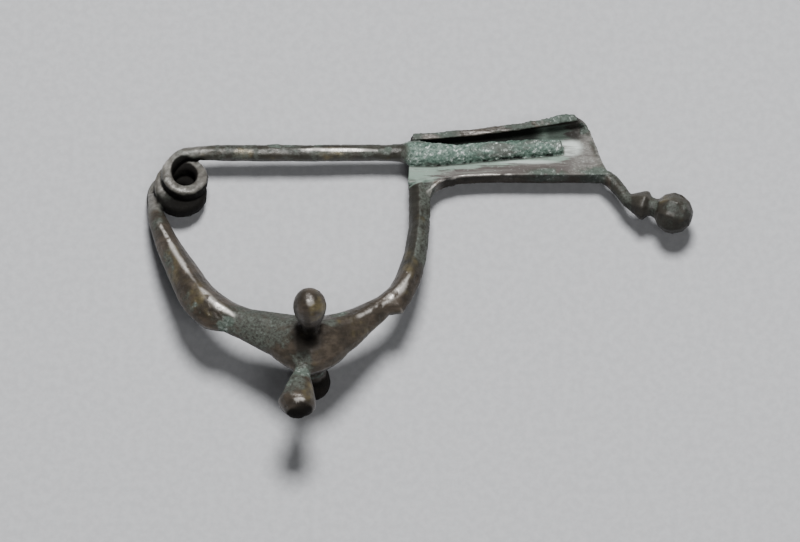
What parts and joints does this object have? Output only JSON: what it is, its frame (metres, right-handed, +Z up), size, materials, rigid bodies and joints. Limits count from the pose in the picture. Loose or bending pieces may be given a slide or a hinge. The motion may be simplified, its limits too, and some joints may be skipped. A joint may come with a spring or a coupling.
{
  "type": "fibula brooch",
  "caption": "Cast bronze bow brooch with bud knobs, a coiled spring and pin, a folded catch plate and a faceted foot knob, lying on its side.",
  "frame": {"origin": "centre of the bounding box in X and Y, on the surface it lies on", "axes": "+X along the pin from the spring coil to the foot knob, +Y from the bow to the pin, +Z up from the surface it lies on"},
  "size_m": [0.0804, 0.0512, 0.0248],
  "materials": {
    "bronze": "dark patina with green corrosion"
  },
  "bodies": {
    "root": {"fibula": "bronze"}
  },
  "joints": []
}
